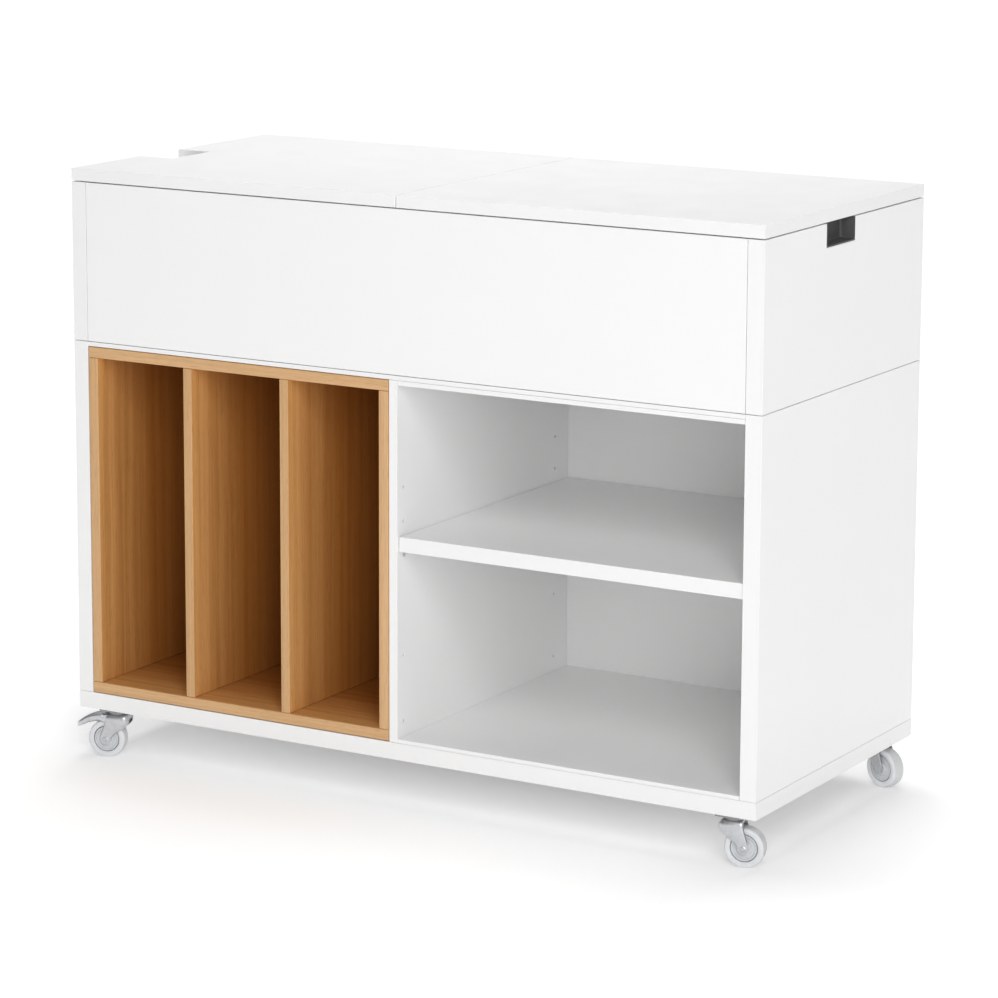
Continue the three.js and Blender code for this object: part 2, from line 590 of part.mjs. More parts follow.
function addCastors() {
  for (const { name, x, y, turn, brake } of CASTORS) {
    const place = new THREE.Group();
    const insetX = x < 0 ? CASTOR_INSET_LEFT : CASTOR_INSET_RIGHT;
    place.position.set(x * (WIDTH / 2 - insetX), y * (DEPTH / 2 - CASTOR_INSET_Y), 0);
    group.add(place);
    addPart(`castor_plate_${name}`, castorPlate(), 'zinc', place);
    const swivel = new THREE.Group();
    swivel.rotation.z = THREE.MathUtils.degToRad(turn);
    place.add(swivel);
    addPart(`castor_fork_${name}`, castorFork(brake), 'zinc', swivel);
    addPart(`castor_axle_${name}`, castorAxle(), 'zinc', swivel);
    addPart(`castor_hub_${name}`, castorHub(), 'hub', swivel);
    addPart(`castor_tyre_${name}`, castorTyre(), 'tyre', swivel);
    if (brake) addPart(`brake_pedal_${name}`, brakePedal(), 'zinc', swivel);
  }
}

// ---- Assembly ---------------------------------------------------------------------------------------
addLowerCase();
addDeck();
addShelf();
addOakBox();
addUpperBox();
addFingerPull();
addTops();
addCastors();

export default group;
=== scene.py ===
"""Looks of the sewing table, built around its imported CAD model. Metres, +Z up, front towards -Y."""

import json
import math

import bmesh
import bpy
from mathutils import Matrix, Vector


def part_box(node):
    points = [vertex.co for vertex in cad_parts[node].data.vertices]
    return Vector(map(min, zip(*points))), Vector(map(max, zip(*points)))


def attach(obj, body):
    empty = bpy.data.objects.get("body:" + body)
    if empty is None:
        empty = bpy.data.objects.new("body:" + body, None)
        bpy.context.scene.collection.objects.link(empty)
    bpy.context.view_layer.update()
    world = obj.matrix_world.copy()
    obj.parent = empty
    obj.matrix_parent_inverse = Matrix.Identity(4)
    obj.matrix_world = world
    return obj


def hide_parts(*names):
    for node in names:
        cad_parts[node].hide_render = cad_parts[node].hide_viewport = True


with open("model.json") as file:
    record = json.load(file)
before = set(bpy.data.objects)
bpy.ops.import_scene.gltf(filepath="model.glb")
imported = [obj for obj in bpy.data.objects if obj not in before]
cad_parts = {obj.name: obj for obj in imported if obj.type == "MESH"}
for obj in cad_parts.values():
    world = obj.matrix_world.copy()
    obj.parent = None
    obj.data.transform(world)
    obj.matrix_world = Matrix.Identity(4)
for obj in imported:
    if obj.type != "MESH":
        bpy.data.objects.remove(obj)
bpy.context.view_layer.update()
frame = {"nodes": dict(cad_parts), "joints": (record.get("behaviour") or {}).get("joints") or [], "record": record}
MM = 0.001

# ---- Camera and light -------------------------------------------------------------------------------
CAMERA_PLACE = (2.4568, -4.1440, 1.3990)
CAMERA_YAW, CAMERA_PITCH, CAMERA_ROLL = 0.5332, -0.1793, -0.0040  # from level, looking along +Y
CAMERA_LENS, SENSOR, CAMERA_SHIFT = 137.30, 36.0, -0.125
FLOOR_SIZE = 60.0
WORLD_LIGHT = 0.22
# The floor isn't one plain tone. It glows, to match the photo's white ground: least in a patch painted under
# the table, and most towards the back left, which is the way the photo's camera looks. The direction was
# chosen from the camera's yaw. No node reads the camera, and the glow is fixed in the world.
# Painted light and painted shadow: the floor glows, least in a painted shadow patch under the table.
FLOOR_GLOW = (0.09, 0.33)  # emission in the middle of the patch, and beyond it
BACKDROP_GLOW = 0.55  # added to it over BACKDROP_REACH metres along BACKDROP_WAY
BACKDROP_REACH = (0.5, 2.2)
BACKDROP_WAY = (-0.5, 0.866, 0)
SHADE_MIDDLE = (0.0, 0.06, 0.0)
SHADE_HALF = (0.42, 0.10, 0.0)  # half sizes of the patch, before it fades out over SHADE_FADE
SHADE_FADE = 0.34
FLOOR_TONE = (0.97, 0.97, 0.97)

SOFTBOXES = (  # name, place, target, diameter, power
    ("top_softbox", (-0.3, 0.6, 2.6), (0, 0, 0.3), 2.4, 46),
    ("high_softbox", (3.4, -4.3, 4.0), (0, 0, 0.4), 2.7, 102),
    ("front_softbox", (3.6, -5.5, 1.9), (0, 0, 0.4), 2.85, 112),
    ("side_softbox", (5.4, -2.2, 2.3), (0, 0, 0.4), 2.5, 12),
)

# ---- Edges of boards ---------------------------------------------------------------------------------
BOARD_EASE = 0.4 * MM
OAK_EASE = 1.0 * MM
EASE_STEPS = 3
CREASE = math.radians(35)


# ---- Meshes ------------------------------------------------------------------------------------------
def joint(name):
    return next(j for j in frame["joints"] if j["name"] == name)


def finished(bm, name):
    """The bmesh as a mesh, smooth over its small steps and sharp at its creases."""
    bmesh.ops.recalc_face_normals(bm, faces=bm.faces[:])
    mesh = bpy.data.meshes.new(name)
    bm.to_mesh(mesh)
    bm.free()
    mesh.shade_smooth()
    mesh.set_sharp_from_angle(angle=CREASE)
    return mesh


def place_piece(name, mesh, materials, body, nodes=()):
    """Puts a mesh in the scene as a piece that rides on a body and stands for its CAD nodes."""
    piece = bpy.data.objects.new(name, mesh)
    bpy.context.scene.collection.objects.link(piece)
    for material in materials[len(mesh.materials):]:
        mesh.materials.append(material)
    weighted = piece.modifiers.new("even_normals", "WEIGHTED_NORMAL")
    weighted.keep_sharp = True
    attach(piece, body)
    if nodes:
        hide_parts(*nodes)
    return piece


def eased_box(low, high, ease, steps=EASE_STEPS):
    """A box between two corners with every edge rounded."""
    bm = bmesh.new()
    size = high - low
    place = Matrix.Translation((low + high) / 2) @ Matrix.Diagonal((*size, 1))
    bmesh.ops.create_cube(bm, size=1, matrix=place)
    bmesh.ops.bevel(bm, geom=bm.edges[:], offset=ease, segments=steps, profile=0.5, affect="EDGES")
    return bm


def join_into(bm, other):
    """Adds one bmesh to another and frees it."""
    scratch = bpy.data.meshes.new("joined")
    other.to_mesh(scratch)
    other.free()
    bm.from_mesh(scratch)
    bpy.data.meshes.remove(scratch)


def eased_outline(points, axis, start, end, ease, steps=EASE_STEPS):
    """An outline pushed along one axis, with every edge rounded. Points hold the other two coordinates."""
    bm = bmesh.new()

    def lifted(level):
        corners = []
        for point in points:
            spot = list(point)
            spot.insert(axis, level)
            corners.append(bm.verts.new(spot))
        return corners

    lower, upper = lifted(start), lifted(end)
    bm.faces.new(lower)
    bm.faces.new(upper)
    for i in range(len(points)):
        j = (i + 1) % len(points)
        bm.faces.new((lower[i], lower[j], upper[j], upper[i]))
    bmesh.ops.recalc_face_normals(bm, faces=bm.faces[:])
    bmesh.ops.bevel(bm, geom=bm.edges[:], offset=ease, segments=steps, profile=0.5, affect="EDGES")
    return bm


def band_edges(bm, thin_axis):
    """Material 0 on the two wide faces and material 1, the edge band, on everything else."""
    bm.normal_update()
    for face in bm.faces:
        face.material_index = 0 if abs(face.normal[thin_axis]) > 0.999 else 1


def thin_axis_of(low, high):
    size = high - low
    return min(range(3), key=lambda axis: size[axis])


def drill(bm, axis, at, radius, start, end, segments=32):
    """Adds a closed round bar along an axis to a bmesh of cutters. at holds the other two coordinates."""
    turn = {0: Matrix.Rotation(math.radians(90), 4, "Y"), 1: Matrix.Rotation(math.radians(-90), 4, "X"),
            2: Matrix.Identity(4)}[axis]
    centre = list(at)
    centre.insert(axis, (start + end) / 2)
    bmesh.ops.create_cone(bm, cap_ends=True, segments=segments, radius1=radius, radius2=radius,
                          depth=abs(end - start), matrix=Matrix.Translation(centre) @ turn)


def carved(mesh, cutters, material_index):
    """The mesh with the cutters taken out of it. The cut walls get one material index."""
    for face in cutters.faces:
        face.material_index = material_index
    tool_mesh = finished(cutters, "tool")
    body = bpy.data.objects.new("carved_body", mesh)
    tool = bpy.data.objects.new("carving_tool", tool_mesh)
    for obj in (body, tool):
        bpy.context.scene.collection.objects.link(obj)
    cut = body.modifiers.new("cut", "BOOLEAN")
    cut.operation, cut.solver, cut.object = "DIFFERENCE", "EXACT", tool
    cut.material_mode = "INDEX"
    bpy.context.view_layer.update()
    shown = body.evaluated_get(bpy.context.evaluated_depsgraph_get())
    result = bpy.data.meshes.new_from_object(shown)
    for obj in (body, tool):
        bpy.data.objects.remove(obj)
    result.shade_smooth()
    result.set_sharp_from_angle(angle=CREASE)
    return result


def turned(bm, profile, segments, matrix=Matrix.Identity(4)):
    """Adds a ring turned about Z to a bmesh. The closed profile holds (radius, height) corners."""
    rings = []
    for step in range(segments):
        angle = 2 * math.pi * step / segments
        turn = matrix @ Matrix.Rotation(angle, 4, "Z")
        rings.append([bm.verts.new(turn @ Vector((radius, 0, height))) for radius, height in profile])
    for step in range(segments):
        ring, following = rings[step], rings[(step + 1) % segments]
        for i in range(len(profile)):
            j = (i + 1) % len(profile)
            bm.faces.new((ring[i], following[i], following[j], ring[j]))


def turned_solid(bm, profile, segments, matrix=Matrix.Identity(4)):
    """Adds a solid turned about Z. The profile runs from the axis to the axis, and its ends become caps."""
    rings = []
    for radius, height in profile[1:-1]:
        rings.append([
            bm.verts.new(matrix @ Vector((radius * math.cos(a), radius * math.sin(a), height)))
            for a in (2 * math.pi * step / segments for step in range(segments))
        ])
    for ring, following in zip(rings, rings[1:]):
        for i in range(segments):
            j = (i + 1) % segments
            bm.faces.new((ring[i], ring[j], following[j], following[i]))
    for ring, (_, height) in ((rings[0], profile[0]), (rings[-1], profile[-1])):
        tip = bm.verts.new(matrix @ Vector((0, 0, height)))
        for i in range(segments):
            bm.faces.new((tip, ring[i], ring[(i + 1) % segments]))


def mirrored(half):
    """A whole (radius, height) profile from the half above its middle."""
    return half + [(radius, -along) for radius, along in reversed(half)]


def rounded(profile, radius, steps=4):
    """A closed (radius, height) profile with each corner rounded by a small arc."""
    out = []
    count = len(profile)
    for i, corner in enumerate(profile):
        here = Vector(corner)
        before, after = Vector(profile[i - 1]) - here, Vector(profile[(i + 1) % count]) - here
        reach = min(radius, before.length * 0.45, after.length * 0.45)
        start, end = here + before.normalized() * reach, here + after.normalized() * reach
        for step in range(steps + 1):
            t = step / steps
            out.append(tuple(start.lerp(here, t).lerp(here.lerp(end, t), t)))
    return out


# ---- Materials ---------------------------------------------------------------------------------------
def new_material(name):
    material = bpy.data.materials.new(name)
    material.use_nodes = True
    return material, material.node_tree.nodes, material.node_tree.links


def node(nodes, kind, **settings):
    made = nodes.new(kind)
    for key, value in settings.items():
        if hasattr(made, key):
            setattr(made, key, value)
        else:
            made.inputs[key].default_value = value
    return made


def noise(nodes, links, vector, scale, detail=3.0, roughness=0.5):
    made = node(nodes, "ShaderNodeTexNoise", Scale=scale, Detail=detail, Roughness=roughness)
    links.new(vector, made.inputs["Vector"])
    return made.outputs["Fac"]


def ramp(nodes, links, value, stops):
    """A colour ramp. Stops hold (position, (r, g, b))."""
    made = nodes.new("ShaderNodeValToRGB")
    elements = made.color_ramp.elements
    while len(elements) < len(stops):
        elements.new(0.5)
    for element, (position, colour) in zip(elements, stops):
        element.position = position
        element.color = (*colour, 1)
    links.new(value, made.inputs["Fac"])
    return made.outputs["Color"]


def spread(nodes, links, value, low, high, new_low, new_high):
    """Maps a value from one range to another, clamped."""
    made = node(nodes, "ShaderNodeMapRange")
    for key, number in zip(("From Min", "From Max", "To Min", "To Max"), (low, high, new_low, new_high)):
        made.inputs[key].default_value = number
    links.new(value, made.inputs["Value"])
    return made.outputs["Result"]


def bumped(nodes, links, shader, height, strength, distance):
    made = node(nodes, "ShaderNodeBump", Strength=strength, Distance=distance)
    links.new(height, made.inputs["Height"])
    links.new(made.outputs["Normal"], shader.inputs["Normal"])


def stretched(nodes, links, vector, scale):
    made = node(nodes, "ShaderNodeMapping", Scale=scale)
    links.new(vector, made.inputs["Vector"])
    return made.outputs["Vector"]


def multiplied(nodes, links, colour, factor_colour, amount):
    made = node(nodes, "ShaderNodeMix", data_type="RGBA", blend_type="MULTIPLY")
    made.inputs["Factor"].default_value = amount
    links.new(colour, made.inputs["A"])
    links.new(factor_colour, made.inputs["B"])
    return made.outputs["Result"]


def vary_roughness(nodes, links, shader, value, low, high):
    """Lets a noise's middle range drive the shader's roughness."""
    links.new(spread(nodes, links, value, 0.3, 0.7, low, high), shader.inputs["Roughness"])


def board_finish(name, tone, roughness, peel):
    """White board surface: faint cloudy tone, fine orange peel, and gloss that varies a little."""
    material, nodes, links = new_material(name)
    shader = nodes["Principled BSDF"]
    place = nodes.new("ShaderNodeTexCoord").outputs["Object"]
    clouds = noise(nodes, links, place, 5.0, 4.0)
    dark = tuple(c * 0.988 for c in tone)
    links.new(ramp(nodes, links, clouds, [(0.3, dark), (0.7, tone)]), shader.inputs["Base Color"])
    smears = noise(nodes, links, place, 22.0, 5.0, 0.6)
    vary_roughness(nodes, links, shader, smears, roughness - 0.02, roughness + 0.03)
    pebbles = noise(nodes, links, place, 900.0, 2.0)
    bumped(nodes, links, shader, pebbles, peel, 0.05 * MM)
    return material


# Painted shade: over this depth behind the front edge, the oak's faces darken and redden towards the back of the
# cells.
PAINTED_SHADE_DEPTH = 0.12  # behind the front edge. Over it the oak is painted darker, as the photo's cells look


def wood_finish(name, light, middle, dark, roughness, shade_share=1.0):
    """Straight-grained wood along the first axis of the mesh's grain attribute.

    Below 1, shade_share paints shade: darker to that share and redder, from the front edge to PAINTED_SHADE_DEPTH.
    """
    material, nodes, links = new_material(name)
    shader = nodes["Principled BSDF"]
    grain = node(nodes, "ShaderNodeAttribute", attribute_name="grain").outputs["Vector"]
    wander = node(nodes, "ShaderNodeTexNoise", Scale=2.2, Detail=2.0)
    links.new(stretched(nodes, links, grain, (1.4, 9, 9)), wander.inputs["Vector"])
    shifted = node(nodes, "ShaderNodeVectorMath", operation="MULTIPLY_ADD")
    links.new(wander.outputs["Color"], shifted.inputs[0])
    shifted.inputs[1].default_value = (0, 0.012, 0.012)
    links.new(grain, shifted.inputs[2])
    path = shifted.outputs["Vector"]

    rings = noise(nodes, links, stretched(nodes, links, path, (0.5, 95, 95)), 1.0, 3.0, 0.55)
    colour = ramp(nodes, links, rings, [(0.26, dark), (0.5, middle), (0.76, light)])
    fibres = noise(nodes, links, stretched(nodes, links, path, (4, 560, 560)), 1.0, 3.0, 0.6)
    streaks = ramp(nodes, links, fibres, [(0.3, (0.8, 0.77, 0.72)), (0.62, (1.0, 1.0, 1.0))])
    colour = multiplied(nodes, links, colour, streaks, 0.5)
    pores = noise(nodes, links, stretched(nodes, links, path, (45, 1500, 1500)), 1.0, 1.0)
    flecks = ramp(nodes, links, pores, [(0.33, (0.6, 0.52, 0.44)), (0.41, (1.0, 1.0, 1.0))])
    colour = multiplied(nodes, links, colour, flecks, 0.4)
    # Painted shade: darker and redder with depth behind the front edge.
    if shade_share < 1:
        depth = node(nodes, "ShaderNodeAttribute", attribute_name="depth").outputs["Fac"]
        painted_shade = ramp(nodes, links, spread(nodes, links, depth, 0.0, PAINTED_SHADE_DEPTH, 0.0, 1.0),
                         [(0.0, (1.0, 1.0, 1.0)), (1.0, (shade_share, shade_share**1.5, shade_share**2.4))])
        colour = multiplied(nodes, links, colour, painted_shade, 1.0)
    links.new(colour, shader.inputs["Base Color"])
    vary_roughness(nodes, links, shader, fibres, roughness + 0.08, roughness - 0.05)
    bumped(nodes, links, shader, pores, 0.25, 0.06 * MM)
    shader.inputs["Specular IOR Level"].default_value = 0.3
    return material


def metal_finish(name, tone, roughness, scratch_scale):
    """Plated steel: cloudy tone, uneven gloss and fine rubbed scratches."""
    material, nodes, links = new_material(name)
    shader = nodes["Principled BSDF"]
    shader.inputs["Metallic"].default_value = 1.0
    place = nodes.new("ShaderNodeTexCoord").outputs["Object"]
    clouds = noise(nodes, links, place, 160.0, 4.0, 0.6)
    dull = tuple(c * 0.86 for c in tone)
    links.new(ramp(nodes, links, clouds, [(0.3, dull), (0.66, tone)]), shader.inputs["Base Color"])
    rubbed = noise(nodes, links, stretched(nodes, links, place, scratch_scale), 1.0, 4.0, 0.7)
    vary_roughness(nodes, links, shader, rubbed, roughness - 0.06, roughness + 0.1)
    bumped(nodes, links, shader, rubbed, 0.06, 0.02 * MM)
    return material


def moulded_finish(name, tone, roughness, grain_scale, wear_and_shade_by=None, wear_and_shade_tone=None):
    """Moulded plastic or rubber, with fine grain, and a speckled second tone where the mesh's attribute marks it.
    """
    material, nodes, links = new_material(name)
    shader = nodes["Principled BSDF"]
    place = nodes.new("ShaderNodeTexCoord").outputs["Object"]
    clouds = noise(nodes, links, place, 120.0, 4.0, 0.55)
    colour = ramp(nodes, links, clouds, [(0.3, tuple(c * 0.93 for c in tone)), (0.68, tone)])
    # The second tone is painted shade at a hub's rim, and a duller tread on a tyre.
    if wear_and_shade_by:
        wear_and_shade = node(nodes, "ShaderNodeAttribute", attribute_name=wear_and_shade_by).outputs["Fac"]
        specks = noise(nodes, links, place, 700.0, 3.0, 0.6)
        share = node(nodes, "ShaderNodeMath", operation="MULTIPLY")
        links.new(spread(nodes, links, specks, 0.35, 0.65, 0.25, 1.0), share.inputs[0])
        links.new(wear_and_shade, share.inputs[1])
        mixed = node(nodes, "ShaderNodeMix", data_type="RGBA")
        links.new(share.outputs["Value"], mixed.inputs["Factor"])
        links.new(colour, mixed.inputs["A"])
        mixed.inputs["B"].default_value = (*wear_and_shade_tone, 1)
        colour = mixed.outputs["Result"]
    links.new(colour, shader.inputs["Base Color"])
    grit = noise(nodes, links, place, grain_scale, 2.0)
    vary_roughness(nodes, links, shader, grit, roughness - 0.05, roughness + 0.08)
    bumped(nodes, links, shader, grit, 0.2, 0.03 * MM)
    return material


def chipboard_finish():
    """Bare particle board, where a board is drilled or cut."""
    material, nodes, links = new_material("chipboard")
    shader = nodes["Principled BSDF"]
    place = nodes.new("ShaderNodeTexCoord").outputs["Object"]
    chips = node(nodes, "ShaderNodeTexVoronoi", Scale=750.0)
    links.new(place, chips.inputs["Vector"])
    shades = noise(nodes, links, chips.outputs["Position"], 320.0, 1.0)
    colour = ramp(nodes, links, shades, [(0.3, (0.25, 0.16, 0.08)), (0.7, (0.56, 0.42, 0.26))])
    links.new(colour, shader.inputs["Base Color"])
    vary_roughness(nodes, links, shader, shades, 0.8, 0.95)
    bumped(nodes, links, shader, chips.outputs["Distance"], 0.6, 0.3 * MM)
    return material


WHITE = (0.93, 0.93, 0.927)
LAMINATE = board_finish("white_laminate", WHITE, 0.34, 0.10)
EDGE_BAND = board_finish("white_edge_band", tuple(c * 0.985 for c in WHITE), 0.36, 0.05)
CHIPBOARD = chipboard_finish()
# OAK_FACE's last number is the share of its tone left at the back of the cells under the painted shade.
OAK_FACE = wood_finish("oak_face", (0.87, 0.49, 0.18), (0.77, 0.40, 0.138), (0.64, 0.315, 0.098), 0.5, 0.54)
OAK_FRONT = wood_finish("oak_front", (0.75, 0.475, 0.25), (0.68, 0.415, 0.205), (0.59, 0.35, 0.16), 0.5)
# Painted shade: the back panel is a darker, redder copy of the oak, for the shade at the back of the cells.
SHADED_OAK_PANEL = wood_finish("oak_panel_painted_shade", (0.44, 0.21, 0.06), (0.37, 0.165, 0.042), (0.30, 0.125, 0.03), 0.55)
BEECH = wood_finish("beech", (0.66, 0.47, 0.29), (0.58, 0.4, 0.235), (0.5, 0.33, 0.18), 0.6)
ZINC = metal_finish("bright_zinc", (0.64, 0.65, 0.67), 0.34, (900, 900, 60))
# Painted shade: a darker copy of the zinc, for the plates and screw heads in the shade under the cabinet.
SHADED_ZINC = metal_finish("zinc_in_painted_shade", (0.34, 0.34, 0.35), 0.36, (400, 400, 400))
HINGE_METAL = metal_finish("satin_zinc_alloy", (0.62, 0.62, 0.63), 0.34, (60, 1200, 1200))
# HUB_PLASTIC's near-black second tone is painted shade at the hub's rim; TYRE_RUBBER's is a duller tread.
HUB_PLASTIC = moulded_finish("hub_plastic", (0.64, 0.655, 0.68), 0.42, 900.0, "wear_and_shade", (0.12, 0.12, 0.12))
TYRE_RUBBER = moulded_finish("tyre_rubber", (0.76, 0.775, 0.80), 0.5, 1300.0, "wear_and_shade", (0.62, 0.62, 0.62))
PAD_RUBBER = moulded_finish("pad_rubber", (0.32, 0.33, 0.34), 0.6, 1500.0)
# Painted shade: the pale pins are toned grey, for the shade under the shelf.
SHADED_PIN_PLASTIC = moulded_finish("pin_plastic_painted_shade", (0.58, 0.58, 0.58), 0.4, 1100.0)
PULL_PLASTIC = moulded_finish("pull_plastic", (0.085, 0.085, 0.086), 0.5, 1000.0)
BOARD_MATERIALS = [LAMINATE, EDGE_BAND, CHIPBOARD]


# ---- White boards ------------------------------------------------------------------------------------
def white_piece(node_name, bm, thin_axis, body="cabinet", cutters=None, lining=CHIPBOARD):
    """A white board with banded edges. Whatever the cutters take out is lined with one material."""
    band_edges(bm, thin_axis)
    mesh = finished(bm, node_name)
    if cutters is not None:
        for material in BOARD_MATERIALS:
            mesh.materials.append(material)
        mesh = carved(mesh, cutters, BOARD_MATERIALS.index(lining))
    return place_piece(f"{node_name}_board", mesh, BOARD_MATERIALS, body, [node_name])


def add_plain_boards():
    for name in ("base_board", "lower_side_left", "lower_back_panel", "bay_ceiling", "bay_floor",
                 "upper_side_left", "upper_front_panel", "upper_back_panel", "centre_rail"):
        low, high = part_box(name)
        white_piece(name, eased_box(low, high, BOARD_EASE), thin_axis_of(low, high))
    low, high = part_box("adjustable_shelf")
    white_piece("adjustable_shelf", eased_box(low, high, BOARD_EASE), 2, "shelf")


HOLE_RADIUS = 2.2 * MM
HOLE_DEPTH = 9 * MM
HOLE_RIM = 0.25 * MM
HOLE_PITCH = 43 * MM
HOLE_ROWS = (2, 1, 0, -3, -5)  # counted from the row that the shelf's pins sit in


def pin_places():
    """The drilled places of one bay wall, as (y, z)."""
    places = []
    for end in ("front", "rear"):
        low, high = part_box(f"shelf_pin_left_{end}")
        centre = (low + high) / 2
        places += [(centre.y, centre.z + row * HOLE_PITCH) for row in HOLE_ROWS]
    return places


def add_drilled_walls():
    """The two walls of the bay, with rows of shelf pin holes. Lined white, to look faint, as in the photo."""
    for name, side in (("divider_panel", 1), ("lower_side_right", 0)):
        low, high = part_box(name)
        face = high.x if side else low.x
        inwards = -1 if side else 1
        cutters = bmesh.new()
        for place in pin_places():
            drill(cutters, 0, place, HOLE_RADIUS, face - inwards * HOLE_RIM, face + inwards * HOLE_DEPTH)
        white_piece(name, eased_box(low, high, BOARD_EASE), 0, cutters=cutters, lining=EDGE_BAND)


def add_deck():
    """The deck: a full-depth lip, and a tongue that rises behind the upper box's front."""
    low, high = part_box("deck_panel")
    lip_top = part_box("lower_side_left")[1].z
    front_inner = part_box("upper_front_panel")[1].y + 0.3 * MM
    back_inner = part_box("upper_back_panel")[0].y - 0.3 * MM
    outline = [(low.y, low.z), (high.y, low.z), (high.y, lip_top), (back_inner, lip_top),
               (back_inner, high.z), (front_inner, high.z), (front_inner, lip_top), (low.y, lip_top)]
    white_piece("deck_panel", eased_outline(outline, 0, low.x, high.x, BOARD_EASE), 2)


PULL_FIT = 0.3 * MM  # gap around the finger notch's lining


def cut_ends(node_name, reach):
    """Front and back of the gap cut in a board, from its CAD corners within reach of its left edge."""
    mesh = frame["nodes"][node_name].data
    low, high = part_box(node_name)
    depths = [v.co.y for v in mesh.vertices if v.co.x < low.x + reach and low.y + MM < v.co.y < high.y - MM]
    return min(depths), max(depths)


def add_notched_side():
    low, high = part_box("upper_side_right")
    front, back = cut_ends("upper_side_right", high.x - low.x + MM)
    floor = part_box("finger_pull")[0].z - PULL_FIT
    outline = [(low.y, low.z), (high.y, low.z), (high.y, high.z), (back, high.z), (back, floor),
               (front, floor), (front, high.z), (low.y, high.z)]
    white_piece("upper_side_right", eased_outline(outline, 0, low.x, high.x, BOARD_EASE), 0)


CUTOUT_DEPTH = 52 * MM


def add_tops():
    """The fixed left top with its cut-out, and the folding lid, each mortised for its hinge cups."""
    low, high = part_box("left_top")
    front, back = cut_ends("left_top", CUTOUT_DEPTH + MM)
    inner = low.x + CUTOUT_DEPTH
    outline = [(low.x, low.y), (high.x, low.y), (high.x, high.y), (low.x, high.y), (low.x, back),
               (inner, back), (inner, front), (low.x, front)]
    white_piece("left_top", eased_outline(outline, 2, low.z, high.z, BOARD_EASE), 2, cutters=mortises("top"))
    low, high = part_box("right_lid")
    white_piece("right_lid", eased_box(low, high, BOARD_EASE), 2, "lid", mortises("lid"))


MORTISE_CLEARANCE = 0.3 * MM


def mortises(side):
    """Cutters a little larger than the hinge cups let into one board."""
    cutters = bmesh.new()
    for end in ("front", "rear"):
        low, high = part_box(f"hinge_{side}_half_{end}")
        axis_x, _, axis_z = joint("lid_hinge")["pos_m"]
        reach = axis_z - low.z + MORTISE_CLEARANCE
        steps = 24
        y0, y1 = low.y - MORTISE_CLEARANCE, high.y + MORTISE_CLEARANCE
        roof = max(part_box(f"hinge_{side}_half_{end}")[1].z, axis_z - 3 * MM) + MORTISE_CLEARANCE
        first = math.asin((axis_z - roof) / reach)
        sign = -1 if side == "top" else 1
        past = -sign * 2 * MM
        outline = [(axis_x + past, roof)]
        for step in range(steps + 1):
            angle = first + (math.pi / 2 - first) * step / steps
            outline.append((axis_x + sign * reach * math.cos(angle), axis_z - reach * math.sin(angle)))
        outline.append((axis_x + past, axis_z - reach))
        join_into(cutters, eased_outline(outline, 1, y0, y1, 0.01 * MM, 1))
    return cutters


# ---- Wood --------------------------------------------------------------------------------------------
def lay_grain(mesh, low, along, seed):
    """Stores each point's place in the board as (along, across, through) the grain, and its depth."""
    others = [axis for axis in range(3) if axis != along]
    order = [along, *others]
    shift = Vector((seed * 3.71, seed * 1.37, seed * 0.59))
    mesh.attributes.new("grain", "FLOAT_VECTOR", "POINT")
    mesh.attributes.new("depth", "FLOAT", "POINT")
    places, depths = (mesh.attributes[name].data for name in ("grain", "depth"))
    for vertex, item, depth in zip(mesh.vertices, places, depths):
        local = vertex.co - low
        item.vector = Vector((local[order[0]], local[order[1]], local[order[2]])) + shift
        depth.value = local.y


def wood_piece(node_name, along, seed, materials, ease):
    """A wooden board. Its front edge takes the second material, if there is one."""
    low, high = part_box(node_name)
    bm = eased_box(low, high, ease)
    bm.normal_update()
    for face in bm.faces:
        face.material_index = int(len(materials) > 1 and face.normal.y < -0.7)
    mesh = finished(bm, node_name)
    lay_grain(mesh, low, along, seed)
    return place_piece(f"{node_name}_board", mesh, materials, "cabinet", [node_name])


def add_wood():
    """The oak box, grain upright in its sides and lengthwise in its top and bottom, and the beech battens."""
    upright, lengthwise = 2, 0
    boards = (("oak_top", lengthwise), ("oak_bottom", lengthwise), ("oak_left", upright),
              ("oak_right", upright), ("oak_divider_left", upright), ("oak_divider_right", upright))
    for seed, (name, along) in enumerate(boards, 1):
        wood_piece(name, along, seed, [OAK_FACE, OAK_FRONT], OAK_EASE)
    # The back panel takes the darker oak, painted shade at the back of the cells.
    wood_piece("oak_back", upright, 8, [SHADED_OAK_PANEL], OAK_EASE)
    for seed, name in enumerate(("top_batten_front", "top_batten_rear"), 11):
        wood_piece(name, lengthwise, seed, [BEECH], BOARD_EASE)


# ---- Fittings ----------------------------------------------------------------------------------------
FITTING_STEPS = 48
PIN_R = 2.1 * MM
PIN_COLLAR_R, PIN_COLLAR_T = 2.5 * MM, 1.2 * MM
PIN_TONGUE_W, PIN_TONGUE_T = 5.6 * MM, 2.2 * MM


def along_x(place, inwards):
    """A frame at a place whose Z runs along X, towards +X or -X."""
    return Matrix.Translation(place) @ Matrix.Rotation(math.radians(90) * inwards, 4, "Y")


